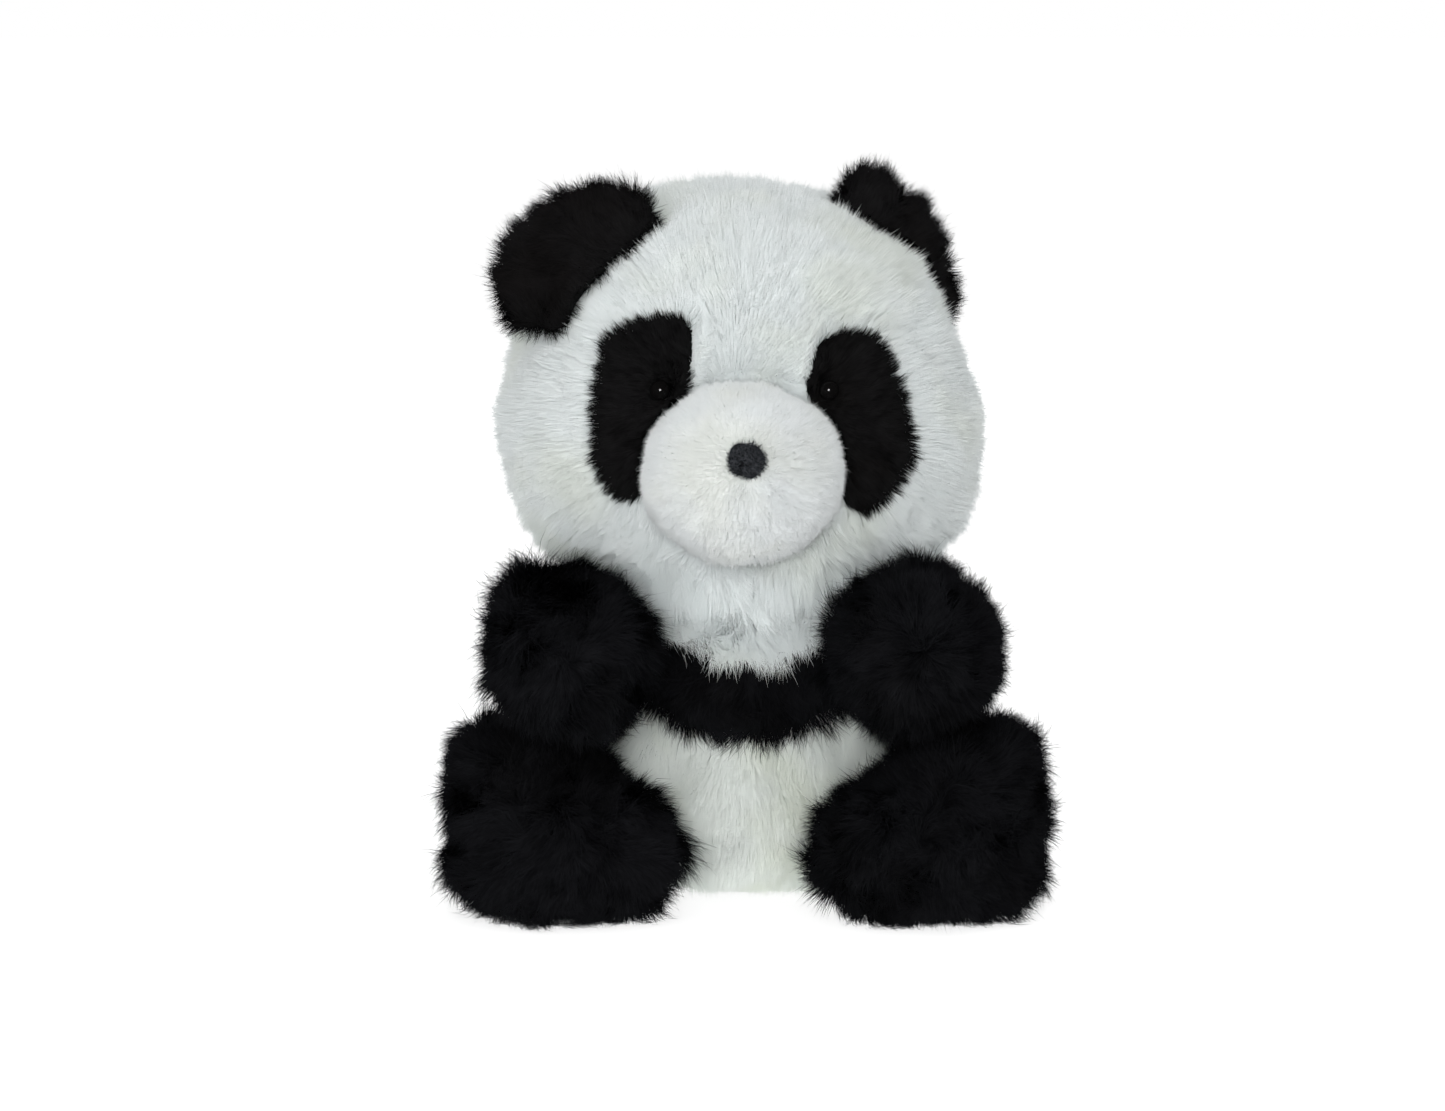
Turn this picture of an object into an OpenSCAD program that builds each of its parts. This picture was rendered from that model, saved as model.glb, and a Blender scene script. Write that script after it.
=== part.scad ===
/* [Head] */
// width of the head across the cheeks
head_w = 194; // [150:1:230]
// depth of the head from the face to the back
head_d = 152; // [120:1:190]
// height of the crown above the floor
crown_z = 287; // [240:1:340]
// height of the widest part of the cheeks
cheek_z = 190; // [150:1:230]
// height of the flat underside where the head sits on the neck
neck_z = 124; // [100:1:150]

/* [Muzzle and nose] */
// width of the muzzle dome
muzzle_w = 79; // [60:1:100]
// height of the muzzle dome
muzzle_h = 71; // [50:1:90]
// height of the muzzle's centre
muzzle_z = 178; // [150:1:200]
// how far the muzzle reaches forward of the neck pin
muzzle_front = 115; // [95:1:130]
// width of the felt nose
nose_w = 15; // [8:0.5:25]
// height of the felt nose
nose_h = 14.4; // [8:0.4:24]

/* [Eyes] */
// diameter of each eye bead
eye_d = 8; // [5:0.5:14]
// height of the eyes
eye_z = 210; // [180:1:230]
// distance between the eye centres
eye_gap = 66; // [40:1:90]

/* [Ears] */
// length of an ear along its seam
ear_l = 76; // [40:1:90]
// height of an ear from seam to tip
ear_h = 58; // [30:1:70]
// thickness of an ear through both panels
ear_t = 18; // [8:1:24]

/* [Torso] */
// greatest width of the stuffed torso
torso_w = 152; // [130:1:170]
// greatest depth of the stuffed torso
torso_d = 124; // [95:1:155]
// height of the seam between the belly and the chest band
band_z = 73; // [60:1:90]
// height of the seam between the chest band and the bib
bib_z = 102; // [98:1:112]

/* [Arms] */
// thickness of an arm at the paw
paw_d = 63; // [45:1:72]
// distance from the shoulder pin to the middle of the paw
arm_reach = 72; // [55:1:95]
// how far the right arm points above level, in degrees
arm_lift = 11.5; // [8:1:16]
// height of the shoulder pins
shoulder_z = 95; // [90:1:95]

/* [Legs] */
// width of a foot
foot_w = 87; // [70:1:100]
// height of a foot above the floor
foot_h = 74; // [55:1:85]
// how far the feet reach forward of the neck pin
foot_front = 105; // [95:1:120]
// height of the hip pins
hip_z = 34; // [28:1:42]

/* [Cloth and joints] */
// thickness of the hide with its pressed pile
hide = 6; // [3:0.5:9]
// gap between two panels at a seam
seam = 0.3; // [0.1:0.1:0.6]
// diameter of the neck joint post
neck_post_d = 6; // [4:0.5:9]
// diameter of the arm and leg joint posts
limb_post_d = 5; // [3:0.5:7]

/* [Hidden] */
soft_fn = 28;
fill_fn = 16;
big = 800;
turn_gap = 0.6;
skin_gap = 0.15;
run_fit = 0.05;
panel_y = 8;
neck_y = 5;
shoulder_y = -6;
hip_y = -8;
shoulder_x = 50;
hip_x = 58;
shoulder_r = 28;
thigh_r = 30;
left_arm_drop = 2.5;
left_arm_out = 1.5;
right_arm_out = -1.5;
waist_z = 66;
head_x = -2.5;
arm_down = 5;
torso_top = neck_z - turn_gap;
disc_t = 2.8;
lock_t = 2.6;
neck_disc_r = 22;
arm_disc_r = 15;
leg_disc_r = 17;
muzzle_y = -70;
muzzle_x = -1.8;
nose_z = muzzle_z + 9.8;
chest_keep = 52;
belly_keep = 54;

// ---- plain shapes ----

module egg(c, r, o = 0)
  translate(c)
    scale([r[0] + o, r[1] + o, r[2] + o])
      sphere(r = 1, $fn = o < 0 ? fill_fn : soft_fn);

// a soft shape is taken as one mesh
module soft()
  resize([0, 0, 0])
    children();

module across(x0, x1, r, y, z)
  translate([x0, y, z])
    rotate([0, 90, 0])
      cylinder(r = r, h = x1 - x0, $fn = 60);

module below(z)
  translate([-big / 2, -big / 2, z - big])
    cube([big, big, big]);

module above(z)
  translate([-big / 2, -big / 2, z])
    cube([big, big, big]);

// everything above a border that is level in the middle, climbs on both sides, then runs level
module over(z, half, rise, top) {
  above(top);
  intersection() {
    above(z);
    intersection_for (s = [-1, 1])
      translate([s * half, 0, z])
        rotate([0, -s * atan(rise), 0])
          translate([-big / 2, -big / 2, 0])
            cube(big);
  }
}

module ahead(y)
  translate([-big / 2, y - big, -big / 2])
    cube([big, big, big]);

module behind(y)
  translate([-big / 2, y, -big / 2])
    cube([big, big, big]);

module beyond(x, side)
  translate([side > 0 ? x : -x - big, -big / 2, -big / 2])
    cube([big, big, big]);

// ---- head ----

module head_form(o) {
  crown_r = 65;
  intersection() {
    hull() {
      egg([head_x - 3, 2, crown_z - crown_r], [head_w / 2 - 10, head_d / 2 - 3, crown_r], o);
      egg([head_x, 0, cheek_z], [head_w / 2, head_d / 2, 62], o);
      egg([head_x + 2.5, 0, neck_z + 36], [head_w / 2 - 5.5, head_d / 2 - 8, 40], o);
      egg([head_x, -22, neck_z + 27], [52, 44, 40], o);
    }
    above(neck_z - o);
  }
}

module muzzle_form(o) {
  d = muzzle_front + muzzle_y;
  egg([muzzle_x, muzzle_y, muzzle_z], [muzzle_w / 2, d, muzzle_h / 2], o);
}

module neck_hole(r)
  translate([0, neck_y, neck_z - 10])
    cylinder(r = r, h = 30, $fn = 60);

module head_shell()
  difference() {
    head_form(0);
    head_form(-hide);
    neck_hole(neck_post_d / 2 + 0.3);
    muzzle_form(skin_gap);
  }

// upright outline of the dark patch round an eye: dots of [x, z, radius]
left_patch = [
  [-28, 233, 5.5], [-37, 232, 5.5], [-50, 226, 6.5], [-52.5, 203, 8],
  [-51.5, 184, 9], [-47, 176, 10], [-36, 186, 12]
];
right_patch = [
  [36, 224, 7.5], [47, 224, 7.5], [55, 206, 7], [57, 184, 9.5],
  [47, 171, 10], [33, 211, 8.5]
];

module patch_column(dots, o)
  translate([0, 0, 0])
    rotate([90, 0, 0])
      linear_extrude(height = 120)
        offset(r = o)
          hull()
            for (d = dots)
              translate([d[0], d[1]])
                circle(r = d[2], $fn = 24);

function eye_x(side) = side * eye_gap / 2 - 1;
eye_y = -66.5;

module eye_seat(side) {
  translate([eye_x(side), eye_y, eye_z])
    sphere(r = eye_d / 2 + 0.2, $fn = 24);
  translate([eye_x(side), eye_y, eye_z])
    rotate([90, 0, 0])
      cylinder(r = eye_d / 2 + 0.2, h = 20, $fn = 24);
  translate([eye_x(side), eye_y, eye_z])
    rotate([-90, 0, 0])
      cylinder(r = 1.7, h = 20, $fn = 24);
}

module eye_patch(side, dots)
  soft()
    difference() {
      intersection() {
        head_shell();
        patch_column(dots, 0);
      }
      eye_seat(side);
    }

module head_front(side, dots)
  soft()
    difference() {
      intersection() {
        head_shell();
        ahead(panel_y - seam / 2);
        beyond(seam / 2, side);
      }
      patch_column(dots, seam);
    }

module head_front_left() color([0.93, 0.93, 0.91]) head_front(-1, left_patch);
module head_front_right() color([0.93, 0.93, 0.91]) head_front(1, right_patch);
module eye_patch_left() color([0.05, 0.05, 0.055]) eye_patch(-1, left_patch);
module eye_patch_right() color([0.05, 0.05, 0.055]) eye_patch(1, right_patch);

module head_back()
  color([0.93, 0.93, 0.91])
    soft()
      intersection() {
        head_shell();
        behind(panel_y + seam / 2);
      }

module muzzle_cover()
  color([0.95, 0.95, 0.94])
    soft()
      difference() {
        muzzle_form(0);
        muzzle_form(-hide);
        head_form(-hide + skin_gap);
      }

module muzzle_stuffing()
  color([0.9, 0.9, 0.86])
    soft()
      difference() {
        muzzle_form(-hide - skin_gap);
        head_form(-hide + skin_gap);
      }

module nose()
  color([0.09, 0.095, 0.11])
    soft()
      difference() {
        egg([-0.4, 1.2 - muzzle_front, nose_z], [nose_w / 2, 4.2, nose_h / 2]);
        muzzle_form(skin_gap);
      }

module eye_bead(side) {
  translate([eye_x(side), eye_y, eye_z]) {
    sphere(r = eye_d / 2, $fn = 48);
    rotate([-90, 0, 0])
      cylinder(r = 1.4, h = 13, $fn = 32);
  }
}

module eye_washer(side)
  translate([eye_x(side), eye_y + 8.6, eye_z])
    rotate([-90, 0, 0])
      difference() {
        cylinder(r = 5.5, h = 1.4, $fn = 48);
        translate([0, 0, -1])
          cylinder(r = 1.4 + run_fit, h = 4, $fn = 48);
      }

module eye_left() color([0.03, 0.03, 0.03]) eye_bead(-1);
module eye_right() color([0.03, 0.03, 0.03]) eye_bead(1);
module eye_washer_left() color([0.85, 0.85, 0.85]) eye_washer(-1);
module eye_washer_right() color([0.85, 0.85, 0.85]) eye_washer(1);

module eye_washer_space(side)
  translate([eye_x(side), eye_y + 2, eye_z])
    rotate([-90, 0, 0])
      cylinder(r = 5.8, h = 12.5, $fn = 32);

module head_stuffing()
  color([0.9, 0.9, 0.86])
    soft()
      difference() {
        head_form(-hide - skin_gap);
        eye_washer_space(-1);
        eye_washer_space(1);
        translate([0, neck_y, neck_z])
          cylinder(r = neck_disc_r + 0.4, h = hide + disc_t + 0.8, $fn = 48);
      }

// ear lying in its own plane, seam along x, tip along y, face along z
module ear_place(side) {
  if (side < 0)
    translate([-66.5, -32, 258.5])
      rotate([0, -38, 0])
        rotate([60, 0, 0])
          children();
  else
    translate([60, 4, 259])
      rotate([0, 59, 0])
        rotate([38, 0, 0])
          children();
}

module ear_half(side, face)
  soft()
    difference() {
      ear_place(side)
        intersection() {
          egg([0, 0, 0], [ear_l / 2, ear_h / 2, ear_t / 2]);
          translate([-50, -50, face > 0 ? seam / 2 : -50 - seam / 2])
            cube([100, 100, 50]);
        }
      head_form(skin_gap);
    }

module ear_front_left() color([0.06, 0.055, 0.055]) ear_half(-1, 1);
module ear_back_left() color([0.06, 0.055, 0.055]) ear_half(-1, -1);
module ear_front_right() color([0.06, 0.055, 0.055]) ear_half(1, 1);
module ear_back_right() color([0.06, 0.055, 0.055]) ear_half(1, -1);

// ---- torso ----

// flat sides where the limbs turn: wide at the hips, narrower above the waist
module torso_form(o)
  intersection() {
    hull() {
      egg([0, 0, 42], [torso_w / 2, torso_d / 2, 47], o);
      egg([0, 0, 90], [torso_w / 2 - 6, torso_d / 2 - 2, 58], o);
    }
    union() {
      translate([-hip_x - o, -big / 2, -o])
        cube([2 * hip_x + 2 * o, big, waist_z + 2 * o]);
      translate([-shoulder_x - o, -big / 2, -o])
        cube([2 * shoulder_x + 2 * o, big, torso_top + 2 * o]);
    }
  }

module post_holes(r_neck, r_limb) {
  translate([0, neck_y, torso_top - 14])
    cylinder(r = r_neck, h = 30, $fn = 48);
  across(-shoulder_x - 5, -shoulder_x + 15, r_limb, shoulder_y, shoulder_z);
  across(shoulder_x - 15, shoulder_x + 5, r_limb, shoulder_y, shoulder_z);
  across(-hip_x - 5, -hip_x + 15, r_limb, hip_y, hip_z);
  across(hip_x - 15, hip_x + 5, r_limb, hip_y, hip_z);
}

module torso_shell()
  difference() {
    torso_form(0);
    torso_form(-hide);
    post_holes(neck_post_d / 2 + turn_gap, limb_post_d / 2 + turn_gap);
  }

module band_border(o) over(band_z + o, 22, 0.6, band_z + 13 + o);
module bib_border(o) over(bib_z + o, 10, 0.35, torso_top + 10);

module belly_panel()
  color([0.9, 0.91, 0.87])
    soft()
      intersection() {
        difference() {
          torso_shell();
          band_border(-seam / 2);
        }
        ahead(panel_y - seam / 2);
      }

module back_panel()
  color([0.9, 0.91, 0.87])
    soft()
      intersection() {
        difference() {
          torso_shell();
          band_border(-seam / 2);
        }
        behind(panel_y + seam / 2);
      }

module chest_band()
  color([0.05, 0.05, 0.055])
    soft()
      difference() {
        intersection() {
          torso_shell();
          band_border(seam / 2);
        }
        intersection() {
          bib_border(-seam / 2);
          ahead(panel_y + seam / 2);
        }
      }

module chest_bib()
  color([0.92, 0.91, 0.88])
    soft()
      intersection() {
        torso_shell();
        bib_border(seam / 2);
        ahead(panel_y - seam / 2);
      }

module torso_stuffing()
  color([0.9, 0.9, 0.86])
    soft()
      difference() {
        torso_form(-hide - skin_gap);
        translate([0, neck_y, torso_top - hide - disc_t - 0.8])
          cylinder(r = neck_disc_r + 0.4, h = 40, $fn = 48);
        translate([0, neck_y, torso_top - hide - 12])
          cylinder(r = 8, h = 40, $fn = 48);
        for (s = [-1, 1]) {
          ax = s > 0 ? shoulder_x - hide - disc_t - 0.8 : -shoulder_x;
          bx = s > 0 ? hip_x - hide - disc_t - 0.8 : -hip_x;
          across(ax, ax + hide + disc_t + 0.8, arm_disc_r + 0.4, shoulder_y, shoulder_z);
          across(bx, bx + hide + disc_t + 0.8, leg_disc_r + 0.4, hip_y, hip_z);
          cx = s > 0 ? shoulder_x - 16 : -shoulder_x;
          dx = s > 0 ? hip_x - 16 : -hip_x;
          across(cx, cx + 16, 6.4, shoulder_y, shoulder_z);
          across(dx, dx + 16, 6.4, hip_y, hip_z);
        }
      }

// ---- arms, drawn on the right ----

module arm_turned(a)
  translate([0, shoulder_y, shoulder_z])
    rotate([-a, 0, 0])
      children();

module arm_body(out, o)
  hull() {
    egg([68 + out, 0, 0], [30, shoulder_r, shoulder_r], o);
    egg([67 + out, -arm_reach, 0], [paw_d / 2, paw_d / 2, paw_d / 2], o);
    if (out > 0)
      egg([79 + out, 12 - arm_reach, 18], [17, 17, 17], o);
  }

// level arm, measured from its shoulder pin
module arm_form(out, o)
  difference() {
    arm_body(out, o);
    across(-big, shoulder_x + turn_gap - o, chest_keep - o, 0, 0);
    translate([-big, -chest_keep / 2 + o, -big / 2])
      cube([big + shoulder_x + turn_gap - o, big, big]);
  }

module arm_shell(out)
  difference() {
    arm_form(out, 0);
    arm_form(out, -hide);
    across(shoulder_x - 5, shoulder_x + 15, limb_post_d / 2 + 0.3, 0, 0);
  }

module arm_fill(out)
  difference() {
    arm_form(out, -hide - skin_gap);
    across(shoulder_x, shoulder_x + turn_gap + hide + disc_t + 0.8, arm_disc_r + 0.4, 0, 0);
  }

module place_arm(side)
  if (side > 0)
    arm_turned(arm_lift) children();
  else
    mirror([1, 0, 0])
      arm_turned(arm_lift - left_arm_drop) children();

module arm_cover_left() color([0.05, 0.05, 0.055]) soft() place_arm(-1) arm_shell(left_arm_out);
module arm_cover_right() color([0.05, 0.05, 0.055]) soft() place_arm(1) arm_shell(right_arm_out);
module arm_stuffing_left() color([0.9, 0.9, 0.86]) soft() place_arm(-1) arm_fill(left_arm_out);
module arm_stuffing_right() color([0.9, 0.9, 0.86]) soft() place_arm(1) arm_fill(right_arm_out);

// ---- legs, drawn on the right ----

module paw_dent(side, o)
  for (a = [0, 4])
    arm_turned((side > 0 ? arm_lift : arm_lift - left_arm_drop) - arm_down + a)
      arm_body(side > 0 ? right_arm_out : left_arm_out, o);

module leg_form(side, o)
  intersection() {
    difference() {
      hull() {
        egg([80, hip_y, hip_z], [34, thigh_r, thigh_r], o);
        egg([71, 34 - foot_front, 28], [foot_w / 2, 34, 31], o);
        egg([89.5, 42 - foot_front, 26], [28, 34, 27], o);
        egg([86, 42 - foot_front, foot_h - 24], [28, 32, 24], o);
        egg([100, 52 - foot_front, foot_h - 20], [17, 32, 22], o);
      }
      across(-big, hip_x + turn_gap - o, belly_keep - o, hip_y, hip_z);
      translate([-big, hip_y - belly_keep / 2 + o, -big / 2])
        cube([big + hip_x + turn_gap - o, big, big]);
      paw_dent(side, 0.8 - o);
    }
    above(-o);
  }

module leg_shell(side)
  difference() {
    leg_form(side, 0);
    leg_form(side, -hide);
    across(hip_x - 5, hip_x + 15, limb_post_d / 2 + 0.3, hip_y, hip_z);
  }

sole_y = 20 - foot_front;

module leg_wrap(side)
  difference() {
    leg_shell(side);
    ahead(sole_y + seam / 2);
  }

module sole_panel(side)
  intersection() {
    leg_shell(side);
    ahead(sole_y - seam / 2);
  }

module leg_fill(side)
  difference() {
    leg_form(side, -hide - skin_gap);
    across(hip_x, hip_x + turn_gap + hide + disc_t + 0.8, leg_disc_r + 0.4, hip_y, hip_z);
  }

module leg_cover_left() color([0.05, 0.05, 0.055]) soft() mirror([1, 0, 0]) leg_wrap(-1);
module leg_cover_right() color([0.05, 0.05, 0.055]) soft() leg_wrap(1);
module foot_sole_left() color([0.05, 0.05, 0.055]) soft() mirror([1, 0, 0]) sole_panel(-1);
module foot_sole_right() color([0.05, 0.05, 0.055]) soft() sole_panel(1);
module leg_stuffing_left() color([0.9, 0.9, 0.86]) soft() mirror([1, 0, 0]) leg_fill(-1);
module leg_stuffing_right() color([0.9, 0.9, 0.86]) soft() leg_fill(1);

// ---- joints: a disc with a post, a loose disc and a ring that locks the post ----

// post drawn upright: the disc sits above z = 0 and the post hangs down
module joint_stud(disc_r, post_r, post_l)
  rotate_extrude($fn = 72)
    polygon([
      [0, -post_l],
      [post_r - 0.5, -post_l],
      [post_r, -post_l + 0.5],
      [post_r, 0],
      [disc_r - 0.6, 0],
      [disc_r, 0.6],
      [disc_r, disc_t],
      [0, disc_t]
    ]);

module ring(outer_r, bore_r, t)
  rotate_extrude($fn = 72)
    translate([bore_r, 0])
      square([outer_r - bore_r, t]);

module neck_stud()
  color([0.82, 0.82, 0.8])
    translate([0, neck_y, neck_z + hide + 0.2])
      joint_stud(neck_disc_r, neck_post_d / 2, 2 * hide + turn_gap + 2 * disc_t + lock_t + 1.6);

module neck_disc()
  color([0.82, 0.82, 0.8])
    translate([0, neck_y, torso_top - hide - 0.2 - disc_t])
      ring(neck_disc_r, neck_post_d / 2 + run_fit, disc_t);

module neck_lock()
  color([0.7, 0.7, 0.72])
    translate([0, neck_y, torso_top - hide - 0.6 - disc_t - lock_t])
      ring(7.4, neck_post_d / 2 + 0.02, lock_t);

// a joint on the right turned so that its post points at the torso
module at_shoulder(x, side)
  mirror([side > 0 ? 0 : 1, 0, 0])
    translate([x, shoulder_y, shoulder_z])
      rotate([0, 90, 0])
        children();

module at_hip(x, side)
  mirror([side > 0 ? 0 : 1, 0, 0])
    translate([x, hip_y, hip_z])
      rotate([0, 90, 0])
        children();

limb_post_l = 2 * hide + turn_gap + 2 * disc_t + lock_t + 1.2;

module shoulder_stud(side)
  color([0.82, 0.82, 0.8])
    at_shoulder(shoulder_x + turn_gap + hide + 0.2, side)
      joint_stud(arm_disc_r, limb_post_d / 2, limb_post_l);

module shoulder_disc(side)
  color([0.82, 0.82, 0.8])
    at_shoulder(shoulder_x - hide - 0.2 - disc_t, side)
      ring(arm_disc_r, limb_post_d / 2 + run_fit, disc_t);

module shoulder_lock(side)
  color([0.7, 0.7, 0.72])
    at_shoulder(shoulder_x - hide - 0.6 - disc_t - lock_t, side)
      ring(5.8, limb_post_d / 2 + 0.02, lock_t);

module hip_stud(side)
  color([0.82, 0.82, 0.8])
    at_hip(hip_x + turn_gap + hide + 0.2, side)
      joint_stud(leg_disc_r, limb_post_d / 2, limb_post_l);

module hip_disc(side)
  color([0.82, 0.82, 0.8])
    at_hip(hip_x - hide - 0.2 - disc_t, side)
      ring(leg_disc_r, limb_post_d / 2 + run_fit, disc_t);

module hip_lock(side)
  color([0.7, 0.7, 0.72])
    at_hip(hip_x - hide - 0.6 - disc_t - lock_t, side)
      ring(5.8, limb_post_d / 2 + 0.02, lock_t);

module shoulder_stud_left() shoulder_stud(-1);
module shoulder_stud_right() shoulder_stud(1);
module shoulder_disc_left() shoulder_disc(-1);
module shoulder_disc_right() shoulder_disc(1);
module shoulder_lock_left() shoulder_lock(-1);
module shoulder_lock_right() shoulder_lock(1);
module hip_stud_left() hip_stud(-1);
module hip_stud_right() hip_stud(1);
module hip_disc_left() hip_disc(-1);
module hip_disc_right() hip_disc(1);
module hip_lock_left() hip_lock(-1);
module hip_lock_right() hip_lock(1);

head_front_left();
head_front_right();
head_back();
eye_patch_left();
eye_patch_right();
muzzle_cover();
muzzle_stuffing();
nose();
eye_left();
eye_right();
eye_washer_left();
eye_washer_right();
head_stuffing();
ear_front_left();
ear_back_left();
ear_front_right();
ear_back_right();
chest_bib();
chest_band();
belly_panel();
back_panel();
torso_stuffing();
arm_cover_left();
arm_cover_right();
arm_stuffing_left();
arm_stuffing_right();
leg_cover_left();
leg_cover_right();
foot_sole_left();
foot_sole_right();
leg_stuffing_left();
leg_stuffing_right();
neck_stud();
neck_disc();
neck_lock();
shoulder_stud_left();
shoulder_stud_right();
shoulder_disc_left();
shoulder_disc_right();
shoulder_lock_left();
shoulder_lock_right();
hip_stud_left();
hip_stud_right();
hip_disc_left();
hip_disc_right();
hip_lock_left();
hip_lock_right();
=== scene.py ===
"""Seated furry panda.

Each soft CAD node is replaced by a stuffed skin of the same size, and each hide panel grows mesh fur,
combed along a field of directions. Beads and joint parts are the CAD nodes with a finish.
"""
import math

import bpy
import numpy as np
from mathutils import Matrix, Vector
from mathutils.bvhtree import BVHTree
from mathutils.kdtree import KDTree


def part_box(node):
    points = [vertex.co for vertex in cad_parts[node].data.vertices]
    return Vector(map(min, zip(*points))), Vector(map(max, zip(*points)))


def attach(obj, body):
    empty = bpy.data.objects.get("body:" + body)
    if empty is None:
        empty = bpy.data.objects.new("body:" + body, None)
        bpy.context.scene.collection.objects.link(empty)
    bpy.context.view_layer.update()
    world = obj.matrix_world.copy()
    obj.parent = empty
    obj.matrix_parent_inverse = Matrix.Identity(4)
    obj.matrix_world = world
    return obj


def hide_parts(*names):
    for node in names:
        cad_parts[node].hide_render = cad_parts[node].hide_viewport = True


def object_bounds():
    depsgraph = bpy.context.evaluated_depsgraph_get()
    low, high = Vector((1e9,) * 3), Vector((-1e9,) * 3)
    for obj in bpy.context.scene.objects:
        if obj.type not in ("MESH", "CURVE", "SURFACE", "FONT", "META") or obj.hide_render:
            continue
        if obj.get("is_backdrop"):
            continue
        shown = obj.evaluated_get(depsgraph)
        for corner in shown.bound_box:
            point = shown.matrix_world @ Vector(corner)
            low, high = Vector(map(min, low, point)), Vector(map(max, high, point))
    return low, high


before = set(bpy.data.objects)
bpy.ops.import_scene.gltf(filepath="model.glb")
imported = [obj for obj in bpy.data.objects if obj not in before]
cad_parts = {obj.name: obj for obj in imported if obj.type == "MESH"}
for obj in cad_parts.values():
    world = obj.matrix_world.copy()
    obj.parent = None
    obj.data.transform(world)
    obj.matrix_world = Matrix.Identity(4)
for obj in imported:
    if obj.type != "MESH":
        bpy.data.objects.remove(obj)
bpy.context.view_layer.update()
MM = 0.001
DENSITY = 1.0  # share of the hairs that are grown
MOST_TRIANGLES = 190_000  # in one fur piece
FLOOR_CLEAR = 0.3  # mm
SHORTEST = 0.05  # hairs below this share of their full length are left out
LOOSE_SHARE, LOOSE_LENGTH = 0.05, 1.2  # stray hairs, a little longer than the rest
PRESSED = 1.2  # mm to another part within which a hide is bare
SEARCH = 0.02  # m, how far a neighbour is looked for
SIDES = (("left", -1), ("right", 1))
DOWN = np.array([0, 0, -1.0])
FORWARD = np.array([0, -1.0, 0])


# ---------------------------------------------------------------- vectors

def unit(v):
    return v / np.maximum(np.linalg.norm(v, axis=-1, keepdims=True), 1e-12)


def flat_on(v, n):
    return v - (v * n).sum(1, keepdims=True) * n


def ease(x, low, high):
    t = np.clip((x - low) / (high - low), 0, 1)
    return t * t * (3 - 2 * t)


def below(height, top, bottom):
    """Rises from 0 at the top height to 1 at the bottom one."""
    return ease(-height, -top, -bottom)


def wobble(seed, size, count=10):
    """A repeatable smooth vector field whose bumps are about that size in mm."""
    r = np.random.default_rng(seed)
    k = unit(r.normal(size=(count, 3))) * (2 * math.pi / size) * r.uniform(0.6, 1.6, (count, 1))
    phase = r.uniform(0, 2 * math.pi, (count, 3))

    def field(p):
        a = (p / MM) @ k.T
        return np.stack([np.sin(a + phase[:, i]).sum(1) for i in range(3)], 1) * math.sqrt(2 / count)

    return field


def box(node):
    low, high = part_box(node)
    return np.array(low), np.array(high)


def middle(node):
    low, high = box(node)
    return (low + high) / 2


def node_mesh(names):
    """Points and triangles of some CAD nodes together."""
    points, faces, base = [], [], 0
    for name in names:
        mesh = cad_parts[name].data
        co = np.zeros(len(mesh.vertices) * 3)
        mesh.vertices.foreach_get("co", co)
        mesh.calc_loop_triangles()
        tri = np.zeros(len(mesh.loop_triangles) * 3, np.int32)
        mesh.loop_triangles.foreach_get("vertices", tri)
        points.append(co.reshape(-1, 3))
        faces.append(tri.reshape(-1, 3) + base)
        base += len(points[-1])
    return np.concatenate(points), np.concatenate(faces)


def tree_of(names):
    co, tri = node_mesh(names)
    return BVHTree.FromPolygons(co.tolist(), tri.tolist())


def closest(tree, points, far=0.05):
    """Distance and place of the nearest point of a tree."""
    gap, place = np.full(len(points), far), np.array(points)
    for i, q in enumerate(points.tolist()):
        hit = tree.find_nearest(q, far)
        if hit[0] is not None:
            gap[i], place[i] = hit[3], hit[0]
    return gap, place


# ---------------------------------------------------------------- materials

def new_material(name):
    m = bpy.data.materials.new(name)
    m.use_nodes = True
    m.node_tree.nodes.clear()
    out = m.node_tree.nodes.new("ShaderNodeOutputMaterial")
    shader = m.node_tree.nodes.new("ShaderNodeBsdfPrincipled")
    m.node_tree.links.new(shader.outputs[0], out.inputs["Surface"])
    return m, m.node_tree, shader, out


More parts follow.
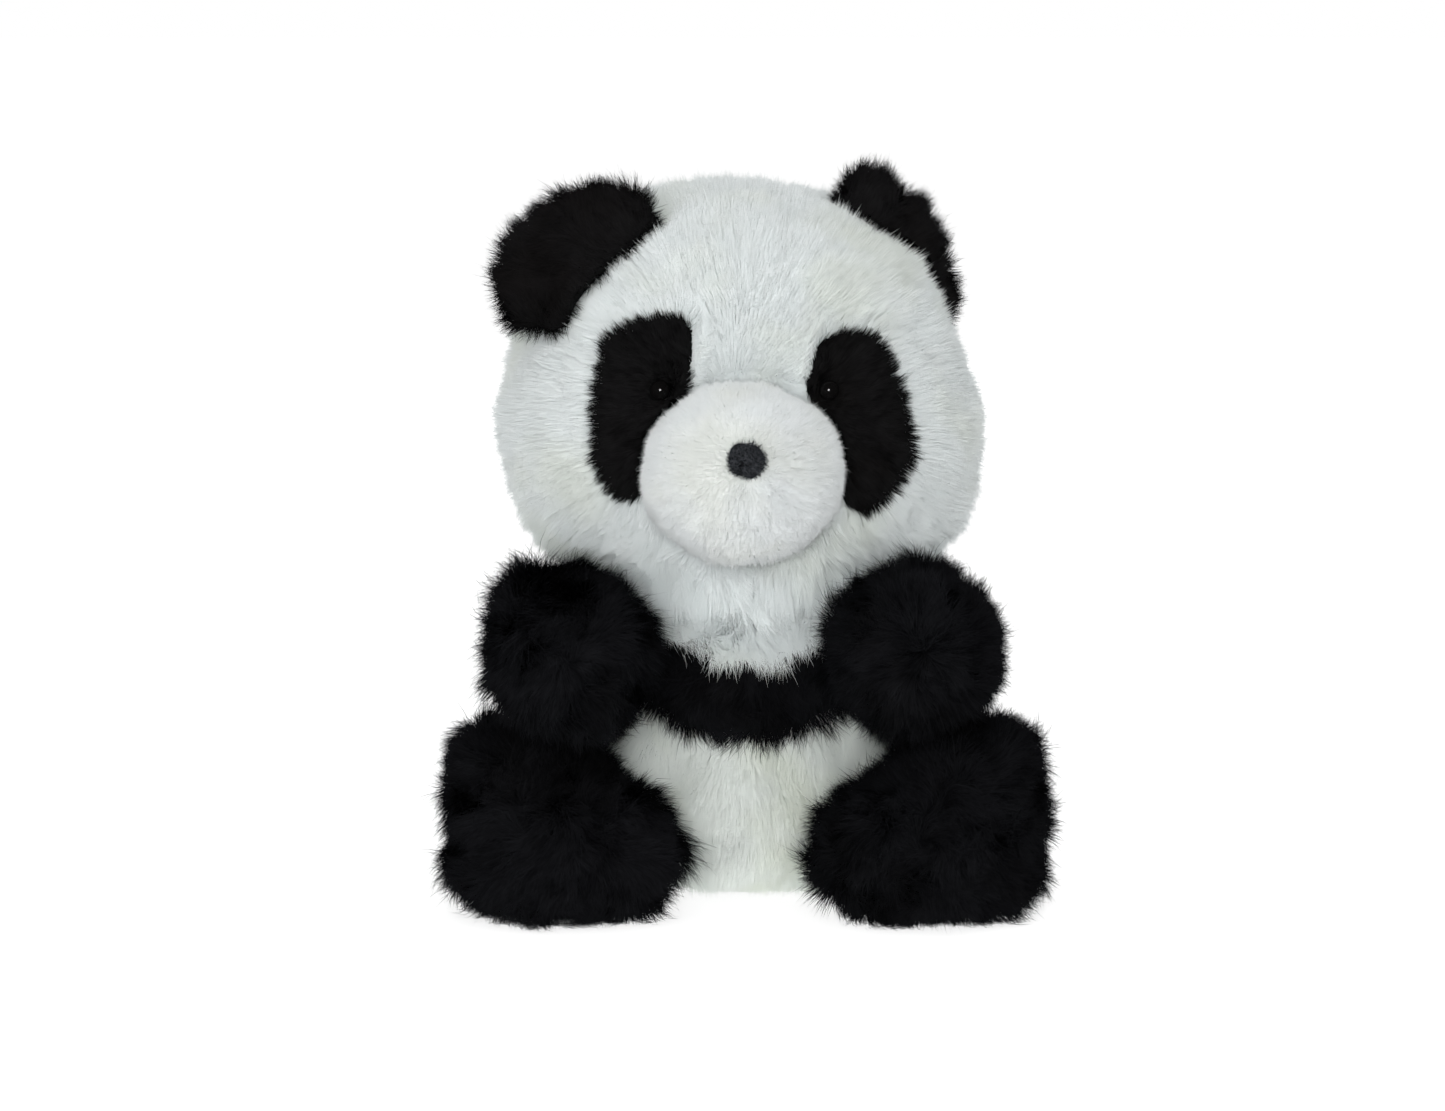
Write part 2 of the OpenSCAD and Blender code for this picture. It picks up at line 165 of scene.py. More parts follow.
def fur_material(name, dark, light, blotch=(1, 1, 1), rough=0.8, specular=0.0, through=0.0):
    """Colour follows each hair's tone, which also holds painted shade darker towards the root, and drifts
    towards blotch in soft patches.
    """
    m, nt, shader, out = new_material(name)
    tone = nt.nodes.new("ShaderNodeAttribute")
    tone.attribute_name = "tone"
    place = nt.nodes.new("ShaderNodeTexCoord")
    fine = nt.nodes.new("ShaderNodeTexNoise")
    fine.inputs["Scale"].default_value = 110
    fine.inputs["Detail"].default_value = 4
    broad = nt.nodes.new("ShaderNodeTexNoise")
    broad.inputs["Scale"].default_value = 22
    broad.inputs["Detail"].default_value = 2
    for noise in (fine, broad):
        nt.links.new(place.outputs["Object"], noise.inputs["Vector"])
    add = nt.nodes.new("ShaderNodeMath")
    add.operation = "MULTIPLY_ADD"
    add.inputs[1].default_value = 0.5
    nt.links.new(fine.outputs["Fac"], add.inputs[0])
    nt.links.new(tone.outputs["Fac"], add.inputs[2])
    span = nt.nodes.new("ShaderNodeMapRange")
    span.inputs["From Min"].default_value = 0.2
    span.inputs["From Max"].default_value = 1.3
    nt.links.new(add.outputs[0], span.inputs["Value"])
    colour = nt.nodes.new("ShaderNodeMix")
    colour.data_type = "RGBA"
    colour.inputs["A"].default_value = (*dark, 1)
    colour.inputs["B"].default_value = (*light, 1)
    nt.links.new(span.outputs["Result"], colour.inputs["Factor"])
    stain = nt.nodes.new("ShaderNodeMapRange")
    stain.inputs["From Min"].default_value = 0.5
    stain.inputs["From Max"].default_value = 0.68
    nt.links.new(broad.outputs["Fac"], stain.inputs["Value"])
    tint = nt.nodes.new("ShaderNodeMix")
    tint.data_type = "RGBA"
    tint.blend_type = "MULTIPLY"
    tint.inputs["B"].default_value = (*blotch, 1)
    nt.links.new(stain.outputs["Result"], tint.inputs["Factor"])
    nt.links.new(colour.outputs["Result"], tint.inputs["A"])
    nt.links.new(tint.outputs["Result"], shader.inputs["Base Color"])
    shader.inputs["Roughness"].default_value = rough
    shader.inputs["Specular IOR Level"].default_value = specular
    if through > 0:
        glow = nt.nodes.new("ShaderNodeBsdfTranslucent")
        nt.links.new(tint.outputs["Result"], glow.inputs["Color"])
        blend = nt.nodes.new("ShaderNodeMixShader")
        blend.inputs[0].default_value = through
        nt.links.new(shader.outputs[0], blend.inputs[1])
        nt.links.new(glow.outputs[0], blend.inputs[2])
        nt.links.new(blend.outputs[0], out.inputs["Surface"])
    return m


def grained(name, colour, rough, grain, scale, coat=0.0, specular=0.5):
    """A plain finish with fine grain in its colour and roughness."""
    m, nt, shader, _ = new_material(name)
    place = nt.nodes.new("ShaderNodeTexCoord")
    noise = nt.nodes.new("ShaderNodeTexNoise")
    noise.inputs["Scale"].default_value = scale
    noise.inputs["Detail"].default_value = 3
    nt.links.new(place.outputs["Object"], noise.inputs["Vector"])
    mix = nt.nodes.new("ShaderNodeMix")
    mix.data_type = "RGBA"
    mix.inputs["A"].default_value = (*[c * (1 - grain) for c in colour], 1)
    mix.inputs["B"].default_value = (*[min(1, c * (1 + grain)) for c in colour], 1)
    nt.links.new(noise.outputs["Fac"], mix.inputs["Factor"])
    nt.links.new(mix.outputs["Result"], shader.inputs["Base Color"])
    shader.inputs["Roughness"].default_value = rough
    shader.inputs["Specular IOR Level"].default_value = specular
    shader.inputs["Coat Weight"].default_value = coat
    shader.inputs["Coat Roughness"].default_value = 0.03
    return m


WHITE = fur_material("white_fur", (0.80, 0.845, 0.845), (0.94, 0.965, 0.96), (0.985, 0.985, 0.95),
                     through=0.4)
CREAM = fur_material("cream_fur", (0.79, 0.83, 0.80), (0.93, 0.955, 0.925), (0.98, 0.985, 0.94),
                     through=0.4)
PLUSH = fur_material("short_plush", (0.86, 0.895, 0.895), (0.96, 0.98, 0.98), (0.985, 0.98, 0.95),
                     through=0.35)
BLACK = fur_material("black_fur", (0.0009, 0.001, 0.0012), (0.0108, 0.0113, 0.0128), (0.7, 0.68, 0.66))
PATCH = fur_material("patch_fur", (0.0016, 0.0016, 0.0017), (0.0122, 0.0121, 0.0124), (0.8, 0.75, 0.7))
EAR = fur_material("ear_fur", (0.0022, 0.0022, 0.0023), (0.0142, 0.014, 0.0144), (0.8, 0.76, 0.74))
FELT = fur_material("felt_fibre", (0.0014, 0.0017, 0.0023), (0.056, 0.06, 0.067), (0.9, 0.9, 0.9),
                    rough=0.95)
BEAD = grained("bead", (0.003, 0.0028, 0.0028), 0.10, 0.3, 300, specular=0.06)
PLASTIC = grained("moulded_plastic", (0.80, 0.80, 0.78), 0.42, 0.04, 700)
LOCK = grained("lock_plastic", (0.62, 0.63, 0.65), 0.38, 0.05, 700)
FILLING = grained("polyester_filling", (0.86, 0.86, 0.83), 0.95, 0.10, 240, specular=0.1)

# ---------------------------------------------------------------- skins


class Skin:
    """One smooth closed surface round some CAD nodes, which knows how near each panel is."""

    def __init__(self, nodes, panels, voxel=2.6, passes=6, puff=0.8, seed=1, shrink=0):
        co, tri = self.outermost(*self.remesh(nodes, voxel))
        pairs = np.sort(np.concatenate([tri[:, [0, 1]], tri[:, [1, 2]], tri[:, [2, 0]]]), axis=1)
        a, b = np.unique(pairs, axis=0).T
        degree = np.bincount(np.concatenate([a, b]), minlength=len(co))[:, None]

        def around(v):
            """Sum over each point's neighbours."""
            both = [np.bincount(a, v[b, i], len(co)) + np.bincount(b, v[a, i], len(co)) for i in range(3)]
            return np.stack(both, 1)

        for i in range(passes * 2):
            co = co + (around(co) / degree - co) * (0.5 if i % 2 == 0 else -0.52)

        def normals():
            across = np.cross(co[tri[:, 1]] - co[tri[:, 0]], co[tri[:, 2]] - co[tri[:, 0]])
            n = np.stack([sum(np.bincount(tri[:, k], across[:, i], len(co)) for k in range(3))
                          for i in range(3)], 1)
            for _ in range(3):
                n = n + around(n)
            return unit(n), np.linalg.norm(across, axis=1) / 2

        n, _ = normals()
        co = co + n * (wobble(seed, 30)(co)[:, :1] * puff * MM)
        self.co, self.tri = co, tri
        self.n, self.area = normals()
        self.panels = panels
        self.near = np.stack([closest(tree_of([p]), co)[0] for p in panels], 1) + np.array(shrink) * MM

    @staticmethod
    def remesh(nodes, voxel):
        co, tri = node_mesh(nodes)
        mesh = bpy.data.meshes.new("rough")
        mesh.from_pydata(co.tolist(), [], tri.tolist())
        rough = bpy.data.objects.new("rough", mesh)
        bpy.context.scene.collection.objects.link(rough)
        modifier = rough.modifiers.new("remesh", "REMESH")
        modifier.mode = "VOXEL"
        modifier.voxel_size = voxel * MM
        got = bpy.data.meshes.new_from_object(rough.evaluated_get(bpy.context.evaluated_depsgraph_get()))
        bpy.data.objects.remove(rough)
        co = np.zeros(len(got.vertices) * 3)
        got.vertices.foreach_get("co", co)
        got.calc_loop_triangles()
        tri = np.zeros(len(got.loop_triangles) * 3, np.int32)
        got.loop_triangles.foreach_get("vertices", tri)
        bpy.data.meshes.remove(got)
        return co.reshape(-1, 3), tri.reshape(-1, 3)

    @staticmethod
    def outermost(co, tri):
        """Drops the inner surfaces of a hollow remesh."""
        group = np.arange(len(co))
        while True:
            low = group[tri].min(1)
            new = group.copy()
            for k in range(3):
                np.minimum.at(new, tri[:, k], low)
            new = new[new]
            if (new == group).all():
                break
            group = new
        sizes = {g: np.ptp(co[group == g], axis=0).prod() for g in np.unique(group)}
        tri = tri[group[tri[:, 0]] == max(sizes, key=sizes.get)]
        used, tri = np.unique(tri, return_inverse=True)
        return co[used], tri.reshape(-1, 3)

    def at(self, values, roots):
        v = values[self.tri[roots["face"]]]
        w = roots["w"].reshape(roots["w"].shape + (1,) * (v.ndim - 2))
        return (v * w).sum(1)

    def scatter(self, per_mm2, seed, extra=None):
        """Evenly spread roots; per_mm2 has one value for each panel, extra one for each point."""
        r = np.random.default_rng(seed)
        owner = self.near[self.tri].mean(1).argmin(1)
        facing = self.n[self.tri].mean(1)
        thick = (0.6 + 0.4 * ease(-facing[:, 1], -0.5, 0.1)) * (1 - 0.5 * ease(-facing[:, 2], 0.6, 0.9))
        thick *= np.array(per_mm2)[owner]
        if extra is not None:
            thick *= extra[self.tri].mean(1)
        weight = np.cumsum(self.area * thick)
        count = int(weight[-1] / MM ** 2 * DENSITY)
        face = np.searchsorted(weight, (np.arange(count) + r.random(count)) / count * weight[-1])
        face = np.minimum(face, len(self.tri) - 1)
        u, v = r.random(count), r.random(count)
        u, v = np.where(u + v > 1, 1 - u, u), np.where(u + v > 1, 1 - v, v)
        roots = {"face": face, "w": np.stack([1 - u - v, u, v], 1)}
        roots["p"] = self.at(self.co, roots)
        roots["n"] = unit(self.at(self.n, roots))
        roots["owner"] = self.at(self.near, roots).argmin(1)
        return roots


def pick(roots, keep):
    return {k: v[keep] for k, v in roots.items()}


# ---------------------------------------------------------------- fur

# Lengths in mm, angles in radians. inset: depth of the root; lean: at root and tip; turn: spread of the
# combing of each hair, tuft and lock; tuft and lock: size and how far their hairs draw together;
# tone: spread of each hair, tuft and lock; steps: segments of one hair
COATS = {
    "white": dict(length=9.5, inset=4.8, width=0.32, lean=(0.30, 1.0), turn=(0.08, 0.05, 0.04),
                  tuft=(2.4, 0.12), lock=(9, 0.04), frizz=0.06, spread=0.16,
                  tone=(0.07, 0.03, 0.02), per_mm2=4.0, steps=3),
    "bib": dict(length=14.5, inset=4.8, width=0.28, lean=(0.05, 1.05), turn=(0.25, 0.12, 0.20),
                tuft=(2.0, 0.12), lock=(7, 0.16), frizz=0.13, spread=0.28,
                tone=(0.09, 0.05, 0.04), per_mm2=6.0, steps=3),
    "plush": dict(length=4.8, inset=2.8, width=0.26, lean=(0.25, 0.8), turn=(0.15, 0.12, 0.12),
                  tuft=(1.8, 0.15), lock=(5, 0.10), frizz=0.11, spread=0.18,
                  tone=(0.10, 0.05, 0.05), per_mm2=7.0, steps=2),
    "patch": dict(length=7.0, inset=4.2, width=0.28, lean=(0.25, 0.95), turn=(0.15, 0.2, 0.2),
                  tuft=(2.0, 0.35), lock=(6, 0.15), frizz=0.10, spread=0.15,
                  tone=(0.14, 0.12, 0.08), per_mm2=6.0, steps=2),
    "ear": dict(length=9.2, inset=4.2, width=0.25, lean=(0.35, 1.0), turn=(0.30, 0.15, 0.15),
                tuft=(1.8, 0.10), lock=(6, 0.04), frizz=0.15, spread=0.30,
                tone=(0.14, 0.08, 0.06), per_mm2=6.5, steps=3),
    "black": dict(length=11.5, inset=4.8, width=0.30, lean=(0.35, 1.2), turn=(0.22, 0.30, 0.35),
                  tuft=(2.2, 0.26), lock=(7, 0.16), frizz=0.13, spread=0.22,
                  tone=(0.16, 0.12, 0.10), per_mm2=4.0, steps=3),
    "felt": dict(length=2.6, inset=0.5, width=0.26, lean=(0.9, 1.45), turn=(1.6, 0.3, 0.2),
                 tuft=(0.8, 0.1), lock=(2, 0.1), frizz=0.30, spread=0.25,
                 tone=(0.55, 0.05, 0.05), per_mm2=9, steps=2),
}


def leaders(p, size, r):
    """One hair in each cell of that size leads the hairs nearest to it."""
    key = (np.floor(p / (size * MM)).astype(np.int64) * np.array([73856093, 19349663, 83492791])).sum(1)
    first = np.unique(key, return_index=True)[1]
    tree = KDTree(len(first))
    for i, q in enumerate((p[first] + r.normal(0, size * 0.25 * MM, (len(first), 3))).tolist()):
        tree.insert(q, i)
    tree.balance()
    return first, np.fromiter((tree.find(q)[1] for q in p.tolist()), np.int64, len(p))


def hairs(roots, coat, comb, stretch, droop, shag, seed):
    """Rows of points from root to tip, and the normal, tone and roll of each hair."""
    c = COATS[coat]
    steps = c["steps"]
    r = np.random.default_rng(seed)
    p, n = roots["p"], roots["n"]
    m = len(p)
    tuft, in_tuft = leaders(p, c["tuft"][0], r)
    lock, in_lock = leaders(p[tuft], c["lock"][0], r)

    def vary(spread):
        """One value a hair, shared in part with its tuft and its lock."""
        own, small, large = spread
        value = r.normal(0, own, m) + r.normal(0, small, len(tuft))[in_tuft]
        return value + r.normal(0, large, len(lock))[in_lock][in_tuft]

    comb = unit(flat_on(comb, n) + 1e-9)
    turn = vary(c["turn"])[:, None]
    comb = comb * np.cos(turn) + np.cross(n, comb) * np.sin(turn)
    loose = r.random(m) < LOOSE_SHARE
    uneven = 1 + (vary((c["spread"], 0.07, 0.06))) * np.sqrt(shag)
    size = c["length"] * stretch * np.clip(uneven, 0.45, 1.4) * np.where(loose, LOOSE_LENGTH, 1)
    bend = vary((0.08, 0.10, 0.08))
    low, high = c["lean"]
    rows = [p - n * (c["inset"] * MM)]
    for i in range(steps):
        lean = low + (high - low) * (i + 0.5) / steps + bend
        d = n * np.cos(lean)[:, None] + comb * np.sin(lean)[:, None] + r.normal(0, c["frizz"], (m, 3))
        d[:, 2] -= droop * (i + 1) / steps
        rows.append(rows[-1] + unit(d) * (size * MM / steps)[:, None])
    for group, strength in ((tuft[in_tuft], c["tuft"][1]), (tuft[lock[in_lock]][in_tuft], c["lock"][1])):
        pull = np.minimum(strength * shag * r.uniform(0.5, 1.0, m), 0.8) * np.where(loose, 0.2, 1)
        for i in range(1, steps + 1):
            toward = rows[i][group] - rows[i]
            rows[i] = rows[i] + toward * (0.7 * (i / steps) ** 1.5 * pull)[:, None]
    for row in rows:
        row[:, 2] = np.maximum(row[:, 2], (FLOOR_CLEAR + r.random(m)) * MM)
    return rows, n, np.clip(0.5 + vary(c["tone"]), 0, 1), r.normal(0, 0.5, m)[:, None]


def outward(n, p):
    """Turns the facing of hairs that hang from an underside away from the middle of the toy."""
    under = ease(-n[:, 2], 0, 0.9)[:, None]
    return unit(n + under * (unit(p * np.array([1, 1, 0])) + np.array([0, 0, 0.8])))


def ribbons(rows, n, tone, roll, width, soft):
    """Turns rows of hair points into triangles; each hair's tone is painted darker towards its root and
    lighter towards its tip, as painted shade deep in the fur.
    """
    m, steps = len(n), len(rows) - 1
    grid = math.ceil(math.sqrt(m))
    cell = np.stack([np.arange(m) % grid, np.arange(m) // grid], 1) / grid
    co, normal, shade, uv = [], [], [], []
    for i in range(steps + 1):
        j = min(i, steps - 1)
        d = unit(rows[j + 1] - rows[j])
        side = unit(np.cross(d, n))
        up = np.cross(side, d)
        side = side * np.cos(roll) + up * np.sin(roll)
        half = side * (width * MM / 2 * (1 - 0.75 * i / steps))
        nn = unit(n + soft * up)
        for k, sign in enumerate((-1, 1) if i < steps else (0,)):
            co.append(rows[i] + sign * half)
            normal.append(nn)
            # painted shade: the tone runs darker at the root and lighter at the tip, for the shade deep
            # in the fur
            shade.append(tone + 0.25 * (i / steps - 0.5))
            uv.append((cell + np.array([0.25 + 0.5 * k, 0.15 + 0.7 * i / steps]) / grid) * 0.98 + 0.01)
    one = []
    for i in range(steps - 1):
        a = 2 * i
        one += [(a, a + 2, a + 1), (a + 1, a + 2, a + 3)]
    one.append((2 * steps - 2, 2 * steps, 2 * steps - 1))
    faces = (np.array(one)[None] + (np.arange(m) * len(co))[:, None, None]).reshape(-1, 3)
    co, normal, uv = (np.stack(v, 1).reshape(m * len(v), -1) for v in (co, normal, uv))
    across = np.cross(co[faces[:, 1]] - co[faces[:, 0]], co[faces[:, 2]] - co[faces[:, 0]])
    inward = (across * normal[faces[:, 0]]).sum(1) < 0
    faces[inward] = faces[inward][:, [0, 2, 1]]
    return co, faces, normal, np.stack(shade, 1).ravel(), uv


def mesh_piece(name, co, faces, normal, tone, uv, material):
    mesh = bpy.data.meshes.new(name)
    mesh.vertices.add(len(co))
    mesh.vertices.foreach_set("co", np.ascontiguousarray(co, np.float32).ravel())
    mesh.loops.add(len(faces) * 3)
    mesh.loops.foreach_set("vertex_index", np.ascontiguousarray(faces, np.int32).ravel())
    mesh.polygons.add(len(faces))
    mesh.polygons.foreach_set("loop_start", np.arange(0, len(faces) * 3, 3, dtype=np.int32))
    mesh.update(calc_edges=True)
    mesh.attributes.new("tone", "FLOAT", "POINT").data.foreach_set("value", tone.astype(np.float32))
    free = mesh.attributes.new("custom_normal", "FLOAT_VECTOR", "POINT")
    free.data.foreach_set("vector", np.ascontiguousarray(normal, np.float32).ravel())
    layer = mesh.uv_layers.new(name="OFBake")
    layer.uv.foreach_set("vector", np.ascontiguousarray(uv[faces.ravel()], np.float32).ravel())
    mesh.materials.append(material)
    piece = bpy.data.objects.new(name, mesh)
    bpy.context.scene.collection.objects.link(piece)
    return piece


def declare(piece, node, body):
    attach(piece, body)
    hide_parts(node)


def soft_piece(skin, tri, name, depth, body, material):
    """A smooth stuffed surface that far under the tops of the hairs."""
    used, faces = np.unique(tri, return_inverse=True)
    n = skin.n[used]
    co = skin.co[used] - n * (depth * MM + 0.4 * MM * wobble(12, 11)(skin.co[used])[:, :1])
    co[:, 2] = np.maximum(co[:, 2], FLOOR_CLEAR * MM)
    span = np.ptp(co, axis=0).max()
    around = (co - co.min(0)) / span
    uv = np.stack([around[:, 0] * 0.5 + (n[:, 1] > 0) * 0.5, around[:, 2]], 1)
    # painted shade: the hide gets tone 0.3, darker than the hairs' mean of 0.5, to match their darkened
    # roots under the fur
    piece = mesh_piece(name, co, faces.reshape(-1, 3), n, np.full(len(co), 0.3), uv, material)
    declare(piece, name, body)


def stuffing(skin, name, body, depth=8.5):
    soft_piece(skin, skin.tri, name, depth, body, FILLING)


LOOKS = {
    # material slot, material, coat
    "white": ("white_fur", WHITE, "white"),
    "bib": ("white_fur", WHITE, "bib"),
    "cream": ("cream_fur", CREAM, "white"),
    "plush": ("short_white_plush", PLUSH, "plush"),
    "patch": ("black_patch_fur", PATCH, "patch"),
    "ear": ("black_ear_fur", EAR, "ear"),
    "black": ("black_fur", BLACK, "black"),
    "felt": ("charcoal_felt", FELT, "felt"),
}


def coat_panel(skin, k, roots, name, body, look, comb, stretch, seed, droop=0, soft=0.3, shag=1):
    """Hide and fur of one panel, the fur in as many pieces as its size needs."""
    slot, material, coat = LOOKS[look]
    droop, shag = (np.broadcast_to(v, len(stretch)) for v in (droop, shag))
    mine = (roots["owner"] == k) & (stretch > SHORTEST)
    own = pick(roots, mine)
    rows, n, tone, roll = hairs(own, coat, comb[mine], stretch[mine], droop[mine], shag[mine], seed)
    tri = skin.tri[skin.near[skin.tri].mean(1).argmin(1) == k]
    soft_piece(skin, tri, name, COATS[coat]["inset"], body, material)
    m = len(own["p"])
    parts = math.ceil(m * (2 * COATS[coat]["steps"] - 1) / MOST_TRIANGLES)
    if material in (WHITE, CREAM):
        n = outward(n, own["p"])
    for i in range(parts):
        s = slice(m * i // parts, m * (i + 1) // parts)
        shape = ribbons([row[s] for row in rows], n[s], tone[s], roll[s], COATS[coat]["width"], soft)
        piece = mesh_piece(f"{name}_fur_{i + 1}", *shape, material)
        declare(piece, name, body)


# ---------------------------------------------------------------- who is near whom

HEAD = ["head_front_left", "head_front_right", "head_back", "eye_patch_left", "eye_patch_right"]
TORSO = ["chest_bib", "chest_band", "belly_panel", "back_panel"]
EARS = [f"ear_{part}_{side}" for side, _ in SIDES for part in ("front", "back")]
COVERS = {"head": HEAD + ["muzzle_cover"], "torso": TORSO}
for side, _ in SIDES:
    COVERS["arm_" + side] = ["arm_cover_" + side]
    COVERS["leg_" + side] = ["leg_cover_" + side, "foot_sole_" + side]
trees = {body: tree_of(nodes) for body, nodes in COVERS.items()}


def room(skin, body, least=0.45, free=7):
    """How much of a hair's length fits before another part of the toy."""
    gap = np.min([closest(tree, skin.co, SEARCH)[0] for b, tree in trees.items() if b != body], axis=0)
    return np.where(gap < PRESSED * MM, 0, least + (1 - least) * ease(gap, 0, free * MM))


flow, swirl, lump = wobble(3, 36), wobble(5, 13), wobble(9, 18)

# ---------------------------------------------------------------- head

muzzle_mid, nose_mid = middle("muzzle_cover"), middle("nose")
eyes = {side: middle("eye_" + side) for side, _ in SIDES}

JOWL_TOP, JOWL_LOW = 0.165, 0.135  # heights in m between which the cheek fur turns into a hanging ruff

head = Skin(HEAD + ["head_stuffing", "muzzle_stuffing"], HEAD, puff=0.5, seed=2,
            shrink=(0, 0, 0, 0.2, 0.2))
head_low = head.co[:, 2].min()
ruff = below(head.co[:, 2], 0.150, 0.132) * below(head.co[:, 1], 0.02, -0.01)
per = [COATS["white"]["per_mm2"]] * 3 + [COATS["patch"]["per_mm2"]] * 2
roots = head.scatter(per, 11, 1 + 0.9 * ruff)
p, n = roots["p"], roots["n"]
beside_muzzle = head.at(closest(tree_of(["muzzle_cover"]), head.co)[0], roots)
beside_ear = head.at(closest(tree_of(EARS), head.co, SEARCH)[0], roots)

stretch = head.at(room(head, "head"), roots)
stretch = np.maximum(stretch, head.at(ruff, roots) * (1.6 + 0.15 * swirl(p)[:, 0]))
stretch *= beside_muzzle > 0.3 * MM
stretch *= 0.5 + 0.5 * ease(beside_ear, 1 * MM, 7 * MM)
stretch *= ~((n[:, 2] < -0.8) & (p[:, 2] < head_low + 4 * MM))

# away from the muzzle, then down at the back and the jowl, and closing over the crease above the muzzle
comb = unit(p - (muzzle_mid + np.array([0, 0.02, 0.012])))
comb = comb + 0.08 * flow(p) + 0.04 * swirl(p)
fall = 0.15 + 0.7 * ease(p[:, 1], 0.01, 0.05) + 0.9 * below(p[:, 2], JOWL_TOP, JOWL_LOW)
comb = comb + DOWN * fall[:, None]
close_over = (1 - ease(beside_muzzle, 0.5 * MM, 6 * MM)) * ease(p[:, 2], 0.165, 0.19)
comb = comb * (1 - 1.6 * close_over)[:, None]

# white fur beside a patch leans away from it, so that the patch keeps a crisp edge
gap, place = closest(tree_of(["eye_patch_left", "eye_patch_right"]), head.co)
beside = closest(tree_of(HEAD[:3]), head.co)[1]
away = unit(head.at(beside - place, roots) + 1e-9)
near = 0.85 * (1 - ease(head.at(gap, roots), 1 * MM, 9 * MM))[:, None]
white = roots["owner"] < 3
comb = np.where(white[:, None], unit(comb) * (1 - near) + away * near, comb)
for k, (side, _) in enumerate(SIDES):
    inside = roots["owner"] == 3 + k
    out = (p - eyes[side]) * np.array([1, 0.3, 1])
    reach = np.linalg.norm(out[:, [0, 2]], axis=1)
    comb[inside] = (0.7 * unit(out) + 0.5 * unit(p - muzzle_mid) + 0.2 * swirl(p))[inside]
    stretch *= np.where(inside, 0.62 + 0.38 * ease(reach, 4 * MM, 12 * MM), 1) * (reach > 1.9 * MM)
stretch *= 1 + 0.04 * lump(p)[:, 0]
shag = 1 + 0.5 * below(p[:, 2], JOWL_TOP, JOWL_LOW)
comb = comb + (0.3 * swirl(p) + 0.3 * flow(p)) * below(p[:, 2], 0.168, 0.14)[:, None]
droop = 0.06 + 0.35 * below(p[:, 2], 0.145, 0.125)
for k, name in enumerate(HEAD[:3]):
    coat_panel(head, k, roots, name, "head", "white", comb, stretch, 21 + k, droop, 0.15, shag)
for k, name in enumerate(HEAD[3:]):
    coat_panel(head, 3 + k, roots, name, "head", "patch", comb, stretch, 25 + k)

stuffing(head, "head_stuffing", "head", 10)

muzzle = Skin(["muzzle_cover", "muzzle_stuffing"], ["muzzle_cover"], voxel=2.0, puff=0.5, seed=3)
roots = muzzle.scatter([COATS["plush"]["per_mm2"]], 31)
p, n = roots["p"], roots["n"]
off = np.linalg.norm((p - nose_mid)[:, [0, 2]], axis=1)
# no hair behind the nose or against the face
open_air = (n[:, 1] < 0.45) & ((off > 5.6 * MM) | (p[:, 1] > -0.1))
stretch = open_air * (0.7 + 0.3 * ease(off, 6 * MM, 12 * MM))
stretch = stretch * (1 + 0.05 * lump(p)[:, 0]) * (1 - 0.1 * ease(n[:, 1], -0.5, 0))
comb = unit(p - nose_mid) + 0.15 * swirl(p) + DOWN * 0.2
shag = 1 + 3.0 * below(p[:, 2], muzzle_mid[2], muzzle_mid[2] - 0.022)
coat_panel(muzzle, 0, roots, "muzzle_cover", "head", "plush", comb, stretch, 32, soft=0.2, shag=shag)

stuffing(muzzle, "muzzle_stuffing", "head", 5.5)

nose = Skin(["nose"], ["nose"], voxel=0.7, passes=2, puff=0.0)
roots = nose.scatter([COATS["felt"]["per_mm2"]], 41)
comb = unit(roots["p"] - nose_mid) + 0.4 * wobble(8, 4)(roots["p"])
stretch = 1.0 * (roots["n"][:, 1] < -0.3)
coat_panel(nose, 0, roots, "nose", "head", "felt", comb, stretch, 42)

for side, s in SIDES:
    pair = ["ear_front_" + side, "ear_back_" + side]
    ear = Skin(pair, pair, voxel=1.7, passes=4, puff=0.6, seed=4)
    roots = ear.scatter([COATS["ear"]["per_mm2"]] * 2, 50 + s)
    p = roots["p"]
    base = middle("head_stuffing") + np.array([0, 0, 0.01])
    free = ear.at(closest(trees["head"], ear.co, SEARCH)[0], roots)
    stretch = (free > 0.4 * MM) * (0.75 + 0.25 * ease(free, 1 * MM, 12 * MM)) * (1 + 0.1 * lump(p)[:, 0])
    comb = unit(p - base) + 0.3 * swirl(p) + 0.2 * flow(p)
    for k, name in enumerate(pair):
        coat_panel(ear, k, roots, name, "head", "ear", comb, stretch, 54 + s + 3 * k)

# ---------------------------------------------------------------- torso

torso = Skin(TORSO + ["torso_stuffing"], TORSO, puff=1.0, seed=5)
per = [COATS[coat]["per_mm2"] for coat in ("bib", "black", "white", "white")]
roots = torso.scatter(per, 61)
p, n = roots["p"], roots["n"]
stretch = torso.at(room(torso, "torso"), roots)
stretch = np.where(roots["owner"] == 0, np.maximum(stretch, 0.8 * (n[:, 2] < 0.8)), stretch)
stretch *= 1 + 0.10 * lump(p)[:, 0]
plain = DOWN + 0.08 * flow(p) + 0.04 * swirl(p)
bib = DOWN + FORWARD * ease(n[:, 2], 0, 0.4)[:, None] - 2.0 * p * np.array([1, 0, 0])
bib = bib + 0.2 * swirl(p) + 0.15 * flow(p)
band = DOWN * 0.9 + 0.45 * swirl(p) + 0.35 * flow(p)
coat_panel(torso, 0, roots, "chest_bib", "torso", "bib", bib, stretch, 62, 0.12, 0.15)
coat_panel(torso, 1, roots, "chest_band", "torso", "black", band, 1.15 * stretch, 63, 0.12, 0.4)
coat_panel(torso, 2, roots, "belly_panel", "torso", "cream", plain, stretch, 64, 0.12, 0.15)
coat_panel(torso, 3, roots, "back_panel", "torso", "cream", plain, stretch, 65, 0.12, 0.15)

stuffing(torso, "torso_stuffing", "torso")

# ---------------------------------------------------------------- arms and legs

